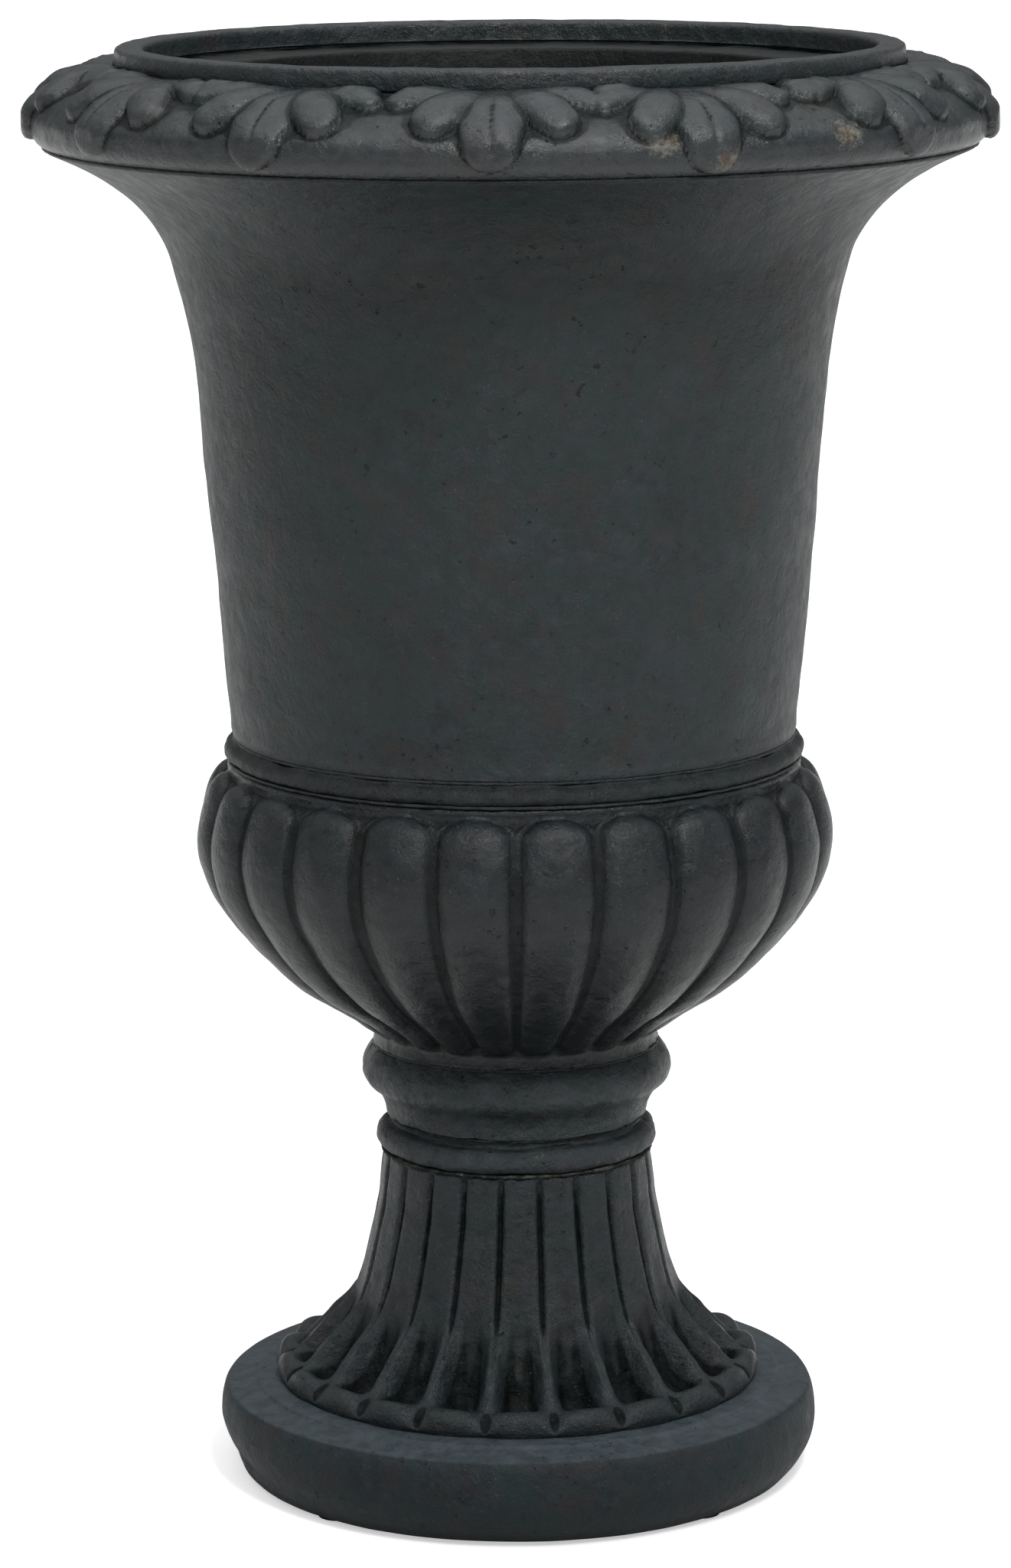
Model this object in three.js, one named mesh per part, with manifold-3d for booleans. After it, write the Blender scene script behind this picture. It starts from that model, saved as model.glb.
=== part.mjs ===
// Campana urn planter of nine cast stone sections, bedded in mortar and held by a rod on the axis.
// Millimetres, +Z up, origin on the floor under the axis. The front, where a leaf is centred, faces -Y.
import * as THREE from "three";
import { mergeVertices } from "three/addons/utils/BufferGeometryUtils.js";
import Module from "manifold-3d";

const wasm = await Module();
wasm.setup();

// Heights of the stack, from the floor up. A bed of mortar lies between each section and the next, and the
// stem's bed is let into its underside so that its leaf tips rest on the plinth.
const padProud = 2;
const plinthHeight = 46;
const stemHeight = 115.5;
const neckRingHeight = 15.5;
const knopHeight = 35.5;
const bowlHeight = 143;
const beadHeight = 9.5;
const bellHeight = 288;
const rimHeight = 35;
const collarHeight = 10.5;
const bedThickness = 1.5;

// Outer radii.
const plinthRadius = 150;
const plinthTopRadius = 145.5;
const plinthBaseRadius = 138;
const stepRadius = 131;
const stepHeight = 1.5;
const leafTipRadius = 121;
const leafHollowRadius = 90;
const stemWaistRadius = 79.5;
const stemNeckRadius = 67;
const neckRingRadius = 69.5;
const neckRecessRadius = 62;
const neckRecessHeight = 3.5;
const knopFootRadius = 65;
const knopRadius = 77;
const knopTopRadius = 72;
const bowlFootRadius = 68;
const bowlRadius = 157;
const bowlShoulderRadius = 142;
const beadRadius = 142.5;
const bellWaistRadius = 138.2;
const bellMouthRadius = 221;
const rollRadius = 232;
const rollUndersideRadius = 223;
const collarRadius = 190.4;
const collarWall = 14;
const ledgeDrop = 0.5;
const ledgeDraft = 1;

// Hollows.
const throatRadius = 143;
const waistBore = 118;
const bowlFloorRadius = 52;
const bowlFloorThickness = 24;
const coreRadius = 34;
const stemMouthBore = 72;
const shoulderBore = 80;
const rebateRadius = 112;
const rebateDepth = 26;

// Locating spigots between the sections.
const spigotHeight = 6;
const spigotWall = 6;
const jointClearance = 0.5;

// Ornament.
const palmettes = 13;
const palmetteTurn = -2;
const gadroons = 24;
const gadroonDepth = 6;
const flutes = 22;
const fluteTurn = -1;
const grooveDepth = 3;
const leafLipHeight = 10.5;
const leafLipWidth = 12;
const leafNotchHeight = 3;
const leafFloorHeight = 6;
const stemBedLap = 10;
const stemWaistHeight = 50;
const leafRelief = 5.5;

// Rod, its fixings, the drain and the pads.
const rodRadius = 6;
const rodHoleRadius = 7;
const rodEndProud = 4;
const nutFlats = 18;
const nutThickness = 10;
const washerRadius = 12;
const washerThickness = 2.5;
const sealThickness = 3;
const barLength = 206;
const barWidth = 36;
const barThickness = 6;
const runningGap = 0.3;
const drainOffset = 23;
const drainRadius = 9;
const drainWall = 1.5;
const padCount = 4;
const padRadius = 10;
const padThickness = 4;

// Mesh fineness.
const roundSides = 40;
const smallSides = 20;
const gadroonSteps = 6;
const fluteSteps = 6;
const palmetteSteps = 12;

// Seat of each section, from the floor up.
const plinthBase = padProud;
const stemBase = plinthBase + plinthHeight;
const neckRingBase = stemBase + stemHeight + bedThickness;
const knopBase = neckRingBase + neckRingHeight + bedThickness;
const bowlBase = knopBase + knopHeight + bedThickness;
const beadBase = bowlBase + bowlHeight + bedThickness;
const bellBase = beadBase + beadHeight + bedThickness;
const rimBase = bellBase + bellHeight + bedThickness;
const collarBase = rimBase + rimHeight + bedThickness;
const bowlFloor = bowlBase + bowlFloorThickness;
const shoulderUnderside = plinthBase + rebateDepth;

// Spigots, sockets and bores that fit one another.
const mouthRadius = collarRadius - collarWall;
const spigotRadius = coreRadius + spigotWall;
const socketRadius = spigotRadius + jointClearance;
const socketDepth = spigotHeight - bedThickness + jointClearance;
const neckBedBore = socketRadius + jointClearance;
const upstandRadius = waistBore + spigotWall;
const upstandHeight = bedThickness + beadHeight + bedThickness + 3;
const upstandBore = upstandRadius + jointClearance;
const rimSpigotRadius = throatRadius + spigotWall;
const nutBore = rodRadius + runningGap;

const material = (color, roughness, metalness = 0) =>
  new THREE.MeshStandardMaterial({ color, roughness, metalness });
const castStone = material(0x34393b, 0.75);
const mortar = material(0x4a4d46, 0.95);
const zincSteel = material(0x9a9da0, 0.4, 0.9);
const rubber = material(0x1b1b1c, 0.9);
const plasticPipe = material(0x6b6f72, 0.6);

const urn = new THREE.Group();

function add(name, geometry, finish) {
  geometry.computeVertexNormals();
  const mesh = new THREE.Mesh(geometry, finish);
  mesh.name = name;
  urn.add(mesh);
}

// Outline points. An outline runs [radius, height] and is turned about the axis.
const corner = (points) => points.map(([r, z]) => new THREE.Vector2(r, z));
const curve = (points, steps) => new THREE.SplineCurve(corner(points)).getPoints(steps);

// A curve between two radii and two heights, bent by [height share, radius share] pairs.
function swept([r0, z0], [r1, z1], shares, steps) {
  const between = shares.map(([h, r]) => [r0 + (r1 - r0) * r, z0 + (z1 - z0) * h]);
  return curve([[r0, z0], ...between, [r1, z1]], steps);
}

// Part of a circle in the outline, round a centre, between two angles in degrees from the floor plane.
function arc([r, z], size, from, to, steps) {
  const turn = THREE.MathUtils.degToRad;
  return new THREE.EllipseCurve(r, z, size, size, turn(from), turn(to)).getPoints(steps);
}

// Turns an outline about +Z, starting at the front. An ornament, where given, repeats its relief round the
// axis: relief(point, j, place) is the new [radius, height] of point j, where place is 0 in the middle of a
// copy and -1 and 1 at its edges.
function turned(outline, sides, ornament) {
  const geometry = new THREE.LatheGeometry(outline, sides);
  const position = geometry.getAttribute("position");
  for (let side = 0; side <= sides; side++) {
    const around = (side % sides) / sides;
    const angle = around * 2 * Math.PI;
    const copy = ornament ? around * ornament.copies : 0;
    const place = 2 * (copy - Math.round(copy));
    outline.forEach((point, j) => {
      const [r, z] = ornament && point.x > 0 ? ornament.relief(point, j, place) : [point.x, point.y];
      position.setXYZ(side * outline.length + j, r * Math.sin(angle), -r * Math.cos(angle), z);
    });
  }
  geometry.deleteAttribute("normal");
  geometry.deleteAttribute("uv");
  return ornament ? geometry.rotateZ(THREE.MathUtils.degToRad(ornament.turn)) : geometry;
}

// Closed ring from an outline that ends where it starts, and a solid from one that runs axis to axis.
const closed = (points) => [...points, points[0].clone()];
const ring = (points, sides = roundSides) => turned(closed(points), sides);
function onAxis(points, sides, ornament) {
  const first = points[0];
  const last = points[points.length - 1];
  return turned([new THREE.Vector2(0, first.y), ...points, new THREE.Vector2(0, last.y)], sides, ornament);
}
const disc = (radius, low, high, sides = smallSides) =>
  onAxis(corner([[radius, low], [radius, high]]), sides);
const plainRing = (inner, outer, low, high, sides = roundSides) =>
  ring(corner([[inner, low], [outer, low], [outer, high], [inner, high]]), sides);

// Direction of an outline at one of its points, as a unit [radius, height].
function along(outline, point) {
  const j = outline.indexOf(point);
  const before = outline[Math.max(0, j - 1)];
  const after = outline[Math.min(outline.length - 1, j + 1)];
  return after.clone().sub(before).normalize().toArray();
}

function solidOf(geometry) {
  const merged = mergeVertices(geometry, 1e-4);
  const index = merged.index.array;
  const faces = [];
  for (let i = 0; i < index.length; i += 3) {
    const [a, b, c] = index.slice(i, i + 3);
    if (a !== b && b !== c && c !== a) faces.push(a, b, c);
  }
  return new wasm.Manifold(
    new wasm.Mesh({
      numProp: 3,
      vertProperties: merged.getAttribute("position").array,
      triVerts: new Uint32Array(faces),
    }),
  );
}

function geometryOf(solid) {
  const mesh = solid.getMesh();
  const geometry = new THREE.BufferGeometry();
  geometry.setAttribute("position", new THREE.BufferAttribute(mesh.vertProperties.slice(), 3));
  geometry.setIndex(new THREE.BufferAttribute(mesh.triVerts.slice(), 1));
  return geometry;
}

const cut = (body, ...tools) =>
  geometryOf(tools.reduce((solid, tool) => solid.subtract(solidOf(tool)), solidOf(body)));
const join = (body, ...others) =>
  geometryOf(others.reduce((solid, other) => solid.add(solidOf(other)), solidOf(body)));

// Rubber pads, let into the underside of the plinth.
const padRing = (rebateRadius + plinthBaseRadius) / 2;
const padAngles = Array.from({ length: padCount }, (_, i) => ((i + 0.5) / padCount) * 2 * Math.PI);
const atPad = (geometry, angle) =>
  geometry.translate(padRing * Math.sin(angle), -padRing * Math.cos(angle), 0);
padAngles.forEach((angle, i) => {
  add(`foot_pad_${i + 1}`, atPad(disc(padRadius, 0, padThickness), angle), rubber);
});

// Plinth: a thick foot ring with a bulged side, a small step on top and a rebate under its shoulder.
function plinth() {
  const top = plinthBase + plinthHeight;
  const widest = plinthBase + plinthHeight * 0.59;
  const sideTop = top - 3 * stepHeight;
  const lower = swept(
    [plinthBaseRadius, plinthBase],
    [plinthRadius, widest],
    [[0.2, 0.28], [0.4, 0.68], [0.68, 0.95]],
    4,
  );
  const upper = swept([plinthRadius, widest], [plinthTopRadius, sideTop], [[0.6, 0.2]], 2);
  const step = corner([
    [plinthTopRadius - 2.5, sideTop + stepHeight],
    [stepRadius + 1, top - stepHeight],
    [stepRadius, top],
  ]);
  const body = onAxis([...lower, ...upper.slice(1), ...step], roundSides);
  const rebate = disc(rebateRadius, plinthBase - 1, shoulderUnderside, roundSides);
  const bore = disc(shoulderBore, shoulderUnderside - 1, top + 1, roundSides);
  const pockets = padAngles.map((angle) =>
    atPad(disc(padRadius + runningGap, plinthBase - 1, padThickness), angle),
  );
  return cut(body, rebate, bore, ...pockets);
}
add("plinth", plinth(), castStone);

// Mortar bed: a flat ring between two seats.
function bed(name, low, inner, outer, sides = roundSides) {
  add(name, plainRing(inner, outer, low, low + bedThickness, sides), mortar);
}
const stemBedOuter = leafHollowRadius + stemBedLap;
bed("stem_bed", stemBase, shoulderBore + jointClearance, stemBedOuter - runningGap);

// Stem: spoon shaped leaves that end in rounded lips on the plinth and close into ribs at the neck.
function stem() {
  const top = stemBase + stemHeight;
  const lip = stemBase + leafLipHeight;
  const waist = stemBase + stemWaistHeight;
  const ribs = swept([stemWaistRadius, waist], [stemNeckRadius, top], [[0.3, 0.42], [0.64, 0.81]], 4);
  const lipBack = [leafTipRadius - leafLipWidth, lip - 1];
  const floor = [leafHollowRadius + 7, stemBase + leafFloorHeight];
  const wall = [leafHollowRadius, stemBase + leafFloorHeight + 8];
  const middle = [
    ...corner([[leafTipRadius - 1, stemBase], [leafTipRadius, stemBase + leafLipHeight / 2]]),
    ...corner([[leafTipRadius - 3, lip], lipBack, floor, wall]),
    ...swept(wall, [stemWaistRadius, waist], [[0.5, 0.48]], 2).slice(1, 2),
    ...ribs,
  ];
  const edge = [
    ...corner([[leafTipRadius - 1, stemBase], [leafTipRadius - 0.5, stemBase + leafNotchHeight]]),
    ...swept(
      [leafTipRadius - 3, stemBase + leafNotchHeight + 3],
      [stemWaistRadius, waist],
      [[0.22, 0.24], [0.4, 0.47], [0.59, 0.7], [0.8, 0.88]],
      5,
    ).slice(0, 5),
    ...ribs,
  ];
  function relief(point, j, place) {
    const inner = middle[j - 1];
    const outer = edge[j - 1];
    const { x, y } = inner.clone().lerp(outer, place ** 2);
    const groove = point.y < waist ? 0 : grooveDepth * place ** 6;
    return [x - groove, y];
  }
  const body = onAxis(edge, flutes * fluteSteps, { relief, copies: flutes, turn: fluteTurn });
  const footSpigotRadius = shoulderBore - jointClearance;
  const lowSpigot = disc(footSpigotRadius, stemBase - spigotHeight, stemBase + 1, roundSides);
  const highSpigot = disc(spigotRadius, top - 1, top + spigotHeight);
  const bedRecess = plainRing(footSpigotRadius, stemBedOuter, stemBase - 1, stemBase + bedThickness);
  const hollow = onAxis(
    [
      ...corner([[stemMouthBore, stemBase - spigotHeight - 1]]),
      ...swept(
        [stemMouthBore, stemBase + spigotHeight],
        [coreRadius, stemBase + stemHeight * 0.62],
        [[0.3, 0.22], [0.65, 0.72]],
        4,
      ),
      ...corner([[coreRadius, top + spigotHeight + 1]]),
    ],
    smallSides,
  );
  return cut(join(body, lowSpigot, highSpigot), bedRecess, hollow);
}
add("fluted_stem", stem(), castStone);

// Neck ring: a half round ring with a small recess above it, located by spigots like its neighbours.
bed("ring_bed", neckRingBase - bedThickness, neckBedBore, stemNeckRadius - 0.5, smallSides);
function neckRing() {
  const top = neckRingBase + neckRingHeight;
  const recess = top - neckRecessHeight;
  const half = (recess - neckRingBase) / 2;
  const round = arc([neckRingRadius - half, neckRingBase + half], half, -75, 75, 6);
  const neck = corner([[neckRecessRadius, recess], [neckRecessRadius, top]]);
  const body = onAxis([...round, ...neck], roundSides);
  const spigot = disc(spigotRadius, top - 1, top + spigotHeight);
  const socket = disc(socketRadius, neckRingBase - 1, neckRingBase + socketDepth);
  const core = disc(coreRadius, neckRingBase - 1, top + spigotHeight + 1);
  return cut(join(body, spigot), socket, core);
}
add("neck_ring", neckRing(), castStone);

// Knop: a cushion that sweeps out from the neck to a blunt shoulder under the bowl.
bed("knop_bed", knopBase - bedThickness, neckBedBore, neckRecessRadius + 1, smallSides);
function knop() {
  const top = knopBase + knopHeight;
  const widest = knopBase + knopHeight * 0.7;
  const lower = swept(
    [knopFootRadius, knopBase],
    [knopRadius, widest],
    [[0.28, 0.14], [0.56, 0.5], [0.82, 0.88]],
    4,
  );
  const upper = swept([knopRadius, widest], [knopTopRadius, top], [[0.5, 0.32]], 3);
  const body = onAxis([...lower, ...upper.slice(1)], roundSides);
  const lowSocket = disc(socketRadius, knopBase - 1, knopBase + socketDepth);
  const highSocket = disc(socketRadius, top - socketDepth, top + 1);
  return cut(body, lowSocket, highSocket, disc(coreRadius, knopBase - 1, top + 1));
}
add("neck_knop", knop(), castStone);

// Bowl: gadroons with rounded tops on a deep shell. An upstand on its rim locates the bead and the bell.
bed("bowl_bed", bowlBase - bedThickness, neckBedBore, bowlFootRadius - 2, smallSides);
function bowl() {
  const top = bowlBase + bowlHeight;
  const belly = bowlBase + bowlHeight * 0.73;
  const lower = swept(
    [bowlFootRadius, bowlBase],
    [bowlRadius, belly],
    [[0.08, 0.06], [0.22, 0.28], [0.37, 0.54], [0.56, 0.76], [0.77, 0.94]],
    6,
  );
  const shoulder = [[0.4, 0.12], [0.8, 0.55]];
  const upper = swept([bowlRadius, belly], [bowlShoulderRadius, top], shoulder, 3);
  const outline = [...lower, ...upper.slice(1)];
  function relief(point, j, place) {
    const [dr, dz] = along(outline, point);
    const share = (point.x - bowlFootRadius) / (bowlRadius - bowlFootRadius);
    const fade = Math.min(1, (top - point.y) / 8);
    const inward = gadroonDepth * Math.min(1, 0.3 + share) * fade * (1 - Math.sqrt(1 - 0.98 * place ** 2));
    return [point.x - inward * dz, Math.max(bowlBase, point.y + inward * dr)];
  }
  const pattern = { relief, copies: gadroons, turn: 180 / gadroons };
  const body = onAxis(outline, gadroons * gadroonSteps, pattern);
  const spigot = disc(spigotRadius, bowlBase - spigotHeight, bowlBase + 1);
  const upstand = disc(upstandRadius, top - 1, top + upstandHeight, roundSides);
  const slope = swept(
    [bowlFloorRadius, bowlFloor],
    [waistBore, bowlFloor + (top - bowlFloor) * 0.55],
    [[0.17, 0.48], [0.52, 0.85]],
    5,
  );
  const cavity = onAxis([...slope, ...corner([[waistBore, top + upstandHeight + 1]])], roundSides);
  const rodHole = disc(rodHoleRadius, bowlBase - spigotHeight - 1, bowlFloor + 1);
  const drainHole = disc(drainRadius + runningGap, bowlBase - spigotHeight - 1, bowlFloor + 1);
  return cut(join(body, spigot, upstand), cavity, rodHole, drainHole.translate(0, -drainOffset, 0));
}
add("gadrooned_bowl", bowl(), castStone);

// Drain: a short pipe cast into the floor of the bowl, which empties into the hollow of the neck.
const drainLow = bowlBase - spigotHeight;
const drain = plainRing(drainRadius - drainWall, drainRadius, drainLow, bowlFloor, smallSides);
add("drain_sleeve", drain.translate(0, -drainOffset, 0), plasticPipe);

// Bead: a half round ring over the bowl's upstand, bedded above and below.
bed("bead_bed", beadBase - bedThickness, upstandBore, bowlShoulderRadius - 2);
function bead() {
  const half = beadHeight / 2;
  const round = arc([beadRadius - half, beadBase + half], half, -90, 90, 6);
  return ring([...round, ...corner([[upstandBore, beadBase + beadHeight], [upstandBore, beadBase]])]);
}
add("waist_bead", bead(), castStone);

// Bell: a plain tapering shell that flares under the roll. It drops over the bowl's upstand and takes the
// rim's spigot in a rebate at its mouth.
bed("bell_bed", bellBase - bedThickness, upstandBore, bellWaistRadius - 1.5);
function bell() {
  const top = bellBase + bellHeight;
  const wall = [[0.09, 0.035], [0.3, 0.094], [0.5, 0.148], [0.65, 0.2]];
  const flare = [[0.78, 0.287], [0.86, 0.385], [0.922, 0.545], [0.975, 0.82]];
  const outer = swept([bellWaistRadius, bellBase], [bellMouthRadius, top], [...wall, ...flare], 10);
  const rebateTop = beadBase - bedThickness + upstandHeight + jointClearance;
  const inner = corner([
    [rimSpigotRadius + jointClearance, top],
    [rimSpigotRadius + jointClearance, top - socketDepth],
    [throatRadius, top - socketDepth],
    [waistBore, rebateTop],
    [upstandBore, rebateTop],
    [upstandBore, bellBase],
  ]);
  return ring([...outer, ...inner]);
}
add("bell_body", bell(), castStone);

// Rim: the roll with its palmettes and buds, and the ledge inside the collar, sunk a little below the seat
// that the collar is bedded on.
bed("rim_bed", rimBase - bedThickness, rimSpigotRadius + 2 * jointClearance, bellMouthRadius - 4);

// Leaves of a palmette and the bud between two palmettes, flat on the roll, in shares of how far the roll
// stands out from the collar. root and tip are the runs round the rim from the middle to the ends of a
// leaf's midrib; start and end run down from the collar.
const rollReach = rollRadius - collarRadius;
const leaves = [
  { root: 0, tip: 0, start: 0, end: 1.25, width: 0.34 },
  { root: 0.26, tip: 0.77, start: 0, end: 0.91, width: 0.22 },
  { root: 0.46, tip: 1.06, start: 0, end: 0.48, width: 0.15 },
];
const bud = { root: 0, tip: 0, start: 0.05, end: 0.43, width: 0.22 };

// How high a leaf stands, from 0 to 1, at a run round the rim and a run down the roll, in the same shares.
function leafHeight(side, down, { root, tip, start, end, width }) {
  const length = (down - start) / (end - start);
  if (length < 0 || length > 1) return 0;
  const midrib = root + (tip - root) * length ** 1.4;
  const half = width * Math.sqrt(1 - ((length - 0.5) / 0.52) ** 2);
  return Math.sqrt(Math.max(0, 1 - ((side - midrib) / half) ** 2));
}

function rim() {
  const top = rimBase + rimHeight;
  const widest = rimBase + rimHeight * 0.32;
  const under = swept([rollUndersideRadius, rimBase], [rollRadius, widest], [[0.35, 0.72]], 2);
  const over = swept(
    [rollRadius, widest],
    [collarRadius + 1, top + 1.5],
    [[0.28, 0.04], [0.52, 0.14], [0.72, 0.3], [0.88, 0.52]],
    6,
  );
  const roll = [...under, ...over.slice(1)];
  const [quirk, seatEdge] = corner([[collarRadius, top - 0.5], [collarRadius - 0.5, top]]);
  const outline = [...roll, quirk, seatEdge];
  const sector = (2 * Math.PI * rollRadius) / palmettes / rollReach;
  function relief(point, j, place) {
    if (point === roll[0] || point === quirk || point === seatEdge) return [point.x, point.y];
    const down = Math.hypot(point.x - collarRadius, point.y - top) / rollReach;
    const side = (Math.abs(place) * sector) / 2;
    const heights = leaves.map((leaf) => leafHeight(side, down, leaf));
    const fade = Math.min(1, 0.25 + 3 * down);
    const height = leafRelief * fade * Math.max(...heights, leafHeight(sector / 2 - side, down, bud));
    const [dr, dz] = along(roll, point);
    return [point.x + height * dz, point.y - height * dr];
  }
  const body = onAxis(outline, palmettes * palmetteSteps, { relief, copies: palmettes, turn: palmetteTurn });
  const spigot = disc(rimSpigotRadius, rimBase - spigotHeight, rimBase + 1, roundSides);
  const throat = disc(throatRadius, rimBase - spigotHeight - 1, top + 3, roundSides);
  const ledge = onAxis(
    corner([[mouthRadius - ledgeDraft, top - ledgeDrop], [mouthRadius, top + ledgeDrop]]),
    roundSides,
  );
  return cut(join(body, spigot), throat, ledge);
}
add("leaf_rim", rim(), castStone);

// Collar: a plain raised ring round the mouth with softened edges.
bed("collar_bed", collarBase - bedThickness, mouthRadius + 1, collarRadius - 1.5);
function collar() {
  const top = collarBase + collarHeight;
  const soft = 2;
  return ring([
    ...corner([[mouthRadius, collarBase], [collarRadius, collarBase]]),
    ...arc([collarRadius - soft, top - soft], soft, 0, 90, 3),
    ...arc([mouthRadius + soft, top - soft], soft, 90, 180, 3),
  ]);
}
add("rim_collar", collar(), castStone);

// Rod and its fixings: it pulls the bowl's floor down on the neck, the stem and the plinth.
function nut(low) {
  const corners = nutFlats / Math.sqrt(3);
  const outline = new THREE.Shape();
  for (let i = 0; i < 6; i++) {
    const turn = (i * Math.PI) / 3;
    outline[i ? "lineTo" : "moveTo"](corners * Math.cos(turn), corners * Math.sin(turn));
  }
  outline.closePath();
  outline.holes.push(new THREE.Path().absarc(0, 0, nutBore, 0, 2 * Math.PI, true));
  const options = { depth: nutThickness, bevelEnabled: false, curveSegments: smallSides / 2 };
  return new THREE.ExtrudeGeometry(outline, options).translate(0, 0, low);
}
const washer = (low, thickness) => plainRing(nutBore, washerRadius, low, low + thickness, smallSides);
function spreaderBar(low) {
  const bar = new THREE.BoxGeometry(barLength, barWidth, barThickness);
  bar.deleteAttribute("normal");
  bar.deleteAttribute("uv");
  bar.translate(0, 0, low + barThickness / 2);
  return cut(bar, disc(nutBore, low - 1, low + barThickness + 1));
}
const upperWasherSeat = bowlFloor + sealThickness;
const upperNutSeat = upperWasherSeat + washerThickness;
add("sealing_washer", washer(bowlFloor, sealThickness), rubber);
add("tie_washer_upper", washer(upperWasherSeat, washerThickness), zincSteel);
add("tie_nut_upper", nut(upperNutSeat), zincSteel);
const barSeat = shoulderUnderside - barThickness;
const lowerWasherSeat = barSeat - washerThickness;
const lowerNutSeat = lowerWasherSeat - nutThickness;
add("spreader_bar", spreaderBar(barSeat), zincSteel);
add("tie_washer_lower", washer(lowerWasherSeat, washerThickness), zincSteel);
add("tie_nut_lower", nut(lowerNutSeat), zincSteel);
const rodTop = upperNutSeat + nutThickness + rodEndProud;
add("tie_rod", disc(rodRadius, lowerNutSeat - rodEndProud, rodTop), zincSteel);

export default urn;
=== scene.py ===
# Campana urn planter of cast stone sections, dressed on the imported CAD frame.
# Metres, +Z up, the front of the urn faces -Y. Outlines are written as [radius, height] in millimetres.
import bpy
import bmesh
import math
import numpy as np
from mathutils import Matrix, Vector, noise


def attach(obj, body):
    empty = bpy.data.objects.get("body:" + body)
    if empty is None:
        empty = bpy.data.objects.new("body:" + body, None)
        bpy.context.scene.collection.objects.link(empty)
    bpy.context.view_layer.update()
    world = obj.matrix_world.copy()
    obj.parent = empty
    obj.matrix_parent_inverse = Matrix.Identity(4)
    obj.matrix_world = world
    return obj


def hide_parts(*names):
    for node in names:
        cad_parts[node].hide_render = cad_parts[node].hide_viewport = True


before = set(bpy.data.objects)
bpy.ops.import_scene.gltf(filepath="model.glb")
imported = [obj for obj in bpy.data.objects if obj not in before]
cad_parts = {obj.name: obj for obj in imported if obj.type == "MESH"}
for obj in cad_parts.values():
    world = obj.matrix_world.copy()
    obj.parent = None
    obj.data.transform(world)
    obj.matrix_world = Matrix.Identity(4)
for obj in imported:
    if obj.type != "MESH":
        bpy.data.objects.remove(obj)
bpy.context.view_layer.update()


# ---------------------------------------------------------------- foot pads
# Four rubber pads, 20 mm across, pressed into pockets in the plinth's underside. They stand 2 mm proud
# so that rain water gets out from under the urn. The turned pads of the CAD model stay as they are.

def new_material(name):
    """A material with an empty node tree, its shader and its object coordinates."""
    made = bpy.data.materials.new(name)
    made.use_nodes = True
    nodes = made.node_tree.nodes
    shader = nodes["Principled BSDF"]
    place = nodes.new("ShaderNodeTexCoord").outputs["Object"]
    return made, nodes, made.node_tree.links, shader, place


def grain(nodes, links, place, scale, detail=3.0, rough=0.55, warp=0.0):
    """A noise over the object, with `scale` features to the metre."""
    made = nodes.new("ShaderNodeTexNoise")
    made.inputs["Scale"].default_value = scale
    made.inputs["Detail"].default_value = detail
    made.inputs["Roughness"].default_value = rough
    made.inputs["Distortion"].default_value = warp
    links.new(place, made.inputs["Vector"])
    return made.outputs["Fac"]


def between(nodes, links, value, low, high, to_low=0.0, to_high=1.0):
    """Maps value from low..high to to_low..to_high and stops at the ends."""
    made = nodes.new("ShaderNodeMapRange")
    made.inputs["From Min"].default_value = low
    made.inputs["From Max"].default_value = high
    made.inputs["To Min"].default_value = to_low
    made.inputs["To Max"].default_value = to_high
    links.new(value, made.inputs["Value"])
    return made.outputs["Result"]


def sums(nodes, links, kind, first, second):
    """One sum of two values, of which either may be a plain number."""
    made = nodes.new("ShaderNodeMath")
    made.operation = kind
    for socket, value in zip(made.inputs, (first, second)):
        if isinstance(value, (int, float)):
            socket.default_value = value
        else:
            links.new(value, socket)
    return made.outputs[0]


def tint(nodes, links, share, first, second, kind="MIX"):
    """Mixes two colours, each a socket or an (r, g, b), by a share that is a socket or a number."""
    made = nodes.new("ShaderNodeMix")
    made.data_type = "RGBA"
    made.blend_type = kind
    for socket, value in ((made.inputs[0], share), (made.inputs[6], first), (made.inputs[7], second)):
        if isinstance(value, (int, float)):
            socket.default_value = value
        elif isinstance(value, tuple):
            socket.default_value = (*value, 1.0)
        else:
            links.new(value, socket)
    return made.outputs[2]


def relief_bump(nodes, links, height, depth, under=None):
    """A bump of `depth` metres over an earlier bump."""
    made = nodes.new("ShaderNodeBump")
    made.inputs["Strength"].default_value = 1.0
    made.inputs["Distance"].default_value = depth
    links.new(height, made.inputs["Height"])
    if under is not None:
        links.new(under, made.inputs["Normal"])
    return made.outputs["Normal"]


def rubber_finish(name):
    """Moulded black rubber, dusty and lightly scuffed."""
    made, nodes, links, shader, place = new_material(name)
    dust = between(nodes, links, grain(nodes, links, place, 160), 0.4, 0.72)
    colour = tint(nodes, links, dust, (0.012, 0.012, 0.013), (0.05, 0.048, 0.045))
    links.new(colour, shader.inputs["Base Color"])
    links.new(between(nodes, links, dust, 0, 1, 0.62, 0.9), shader.inputs["Roughness"])
    links.new(relief_bump(nodes, links, grain(nodes, links, place, 1900), 0.0001), shader.inputs["Normal"])
    return made


def coat(node, material):
    """Gives its finish to a CAD piece that stays as it is."""
    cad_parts[node].data.materials.clear()
    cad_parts[node].data.materials.append(material)


pad_rubber = rubber_finish("pad_rubber")
for pad in ("foot_pad_1", "foot_pad_2", "foot_pad_3", "foot_pad_4"):
    coat(pad, pad_rubber)


# ---------------------------------------------------------------- plinth
# The foot ring, cast in dark stone in one piece: a bulged side, a small step on its flat top that
# carries the stem, a bore, and a rebate underneath for the spreader bar.

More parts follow.
